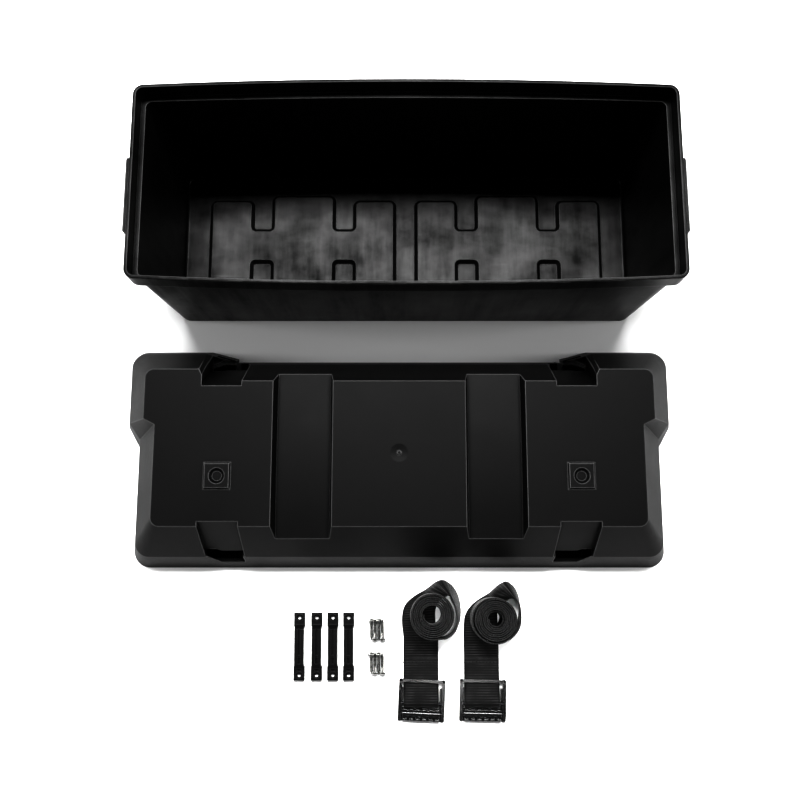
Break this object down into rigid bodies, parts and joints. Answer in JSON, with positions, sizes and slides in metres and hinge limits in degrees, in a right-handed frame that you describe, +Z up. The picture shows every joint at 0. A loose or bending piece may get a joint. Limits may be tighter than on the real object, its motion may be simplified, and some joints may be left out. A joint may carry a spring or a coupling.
{
  "type": "battery box kit",
  "caption": "Black moulded battery box laid out as a kit: long tub with floor pads, vented stepped lid, strap brackets, wood screws and rolled webbing straps with cam buckles.",
  "frame": {"origin": "centre of the tub's underside, on the surface the whole kit lies on", "axes": "+X along the tub's length, +Y away from the lid and straps, +Z up"},
  "size_m": [0.6536, 0.6826, 0.212],
  "materials": {
    "black_plastic": "matte",
    "bracket_plastic": "satin",
    "buckle_plastic": "gloss",
    "black_webbing": "woven",
    "zinc_steel": "satin",
    "spring_steel": "satin"
  },
  "bodies": {
    "tub_body": {"tub": "black_plastic"},
    "lid_body": {"lid": "black_plastic"},
    "bracket_body_1": {"bracket_1": "bracket_plastic"},
    "bracket_body_2": {"bracket_2": "bracket_plastic"},
    "bracket_body_3": {"bracket_3": "bracket_plastic"},
    "bracket_body_4": {"bracket_4": "bracket_plastic"},
    "upper_screws_body": {"screws_upper": "zinc_steel"},
    "lower_screws_body": {"screws_lower": "zinc_steel"},
    "strap_body_left": {"buckle_frame_left": "buckle_plastic", "sew_bar_left": "spring_steel", "cam_pin_left": "spring_steel", "cam_spring_left": "spring_steel", "webbing_run_left": "black_webbing", "webbing_turn_left": "black_webbing", "webbing_roll_left": "black_webbing"},
    "cam_body_left": {"buckle_cam_left": "buckle_plastic"},
    "strap_body_right": {"buckle_frame_right": "buckle_plastic", "sew_bar_right": "spring_steel", "cam_pin_right": "spring_steel", "cam_spring_right": "spring_steel", "webbing_run_right": "black_webbing", "webbing_turn_right": "black_webbing", "webbing_roll_right": "black_webbing"},
    "cam_body_right": {"buckle_cam_right": "buckle_plastic"}
  },
  "joints": [
    {"name": "lid_lift", "type": "slide", "parent": "tub_body", "child": "lid_body", "axis": [0, 0, 1], "range_m": [0, 0.24]},
    {"name": "bracket_1_lift", "type": "slide", "parent": "tub_body", "child": "bracket_body_1", "axis": [0, 0, 1], "range_m": [0, 0.24]},
    {"name": "bracket_2_lift", "type": "slide", "parent": "tub_body", "child": "bracket_body_2", "axis": [0, 0, 1], "range_m": [0, 0.24]},
    {"name": "bracket_3_lift", "type": "slide", "parent": "tub_body", "child": "bracket_body_3", "axis": [0, 0, 1], "range_m": [0, 0.24]},
    {"name": "bracket_4_lift", "type": "slide", "parent": "tub_body", "child": "bracket_body_4", "axis": [0, 0, 1], "range_m": [0, 0.24]},
    {"name": "screws_upper_lift", "type": "slide", "parent": "tub_body", "child": "upper_screws_body", "axis": [0, 0, 1], "range_m": [0, 0.24]},
    {"name": "screws_lower_lift", "type": "slide", "parent": "tub_body", "child": "lower_screws_body", "axis": [0, 0, 1], "range_m": [0, 0.24]},
    {"name": "strap_left_lift", "type": "slide", "parent": "tub_body", "child": "strap_body_left", "axis": [0, 0, 1], "range_m": [0, 0.24]},
    {"name": "cam_left_hinge", "type": "hinge", "parent": "strap_body_left", "child": "cam_body_left", "pos_m": [0.01744, -0.55978, 0.006], "axis": [0.999, -0.0454, 0], "range_deg": [0, 22], "stiffness_Nm_per_rad": 0.02},
    {"name": "strap_right_lift", "type": "slide", "parent": "tub_body", "child": "strap_body_right", "axis": [0, 0, 1], "range_m": [0, 0.24]},
    {"name": "cam_right_hinge", "type": "hinge", "parent": "strap_body_right", "child": "cam_body_right", "pos_m": [0.08794, -0.5598, 0.006], "axis": [0.9997, -0.0244, 0], "range_deg": [0, 22], "stiffness_Nm_per_rad": 0.02}
  ]
}
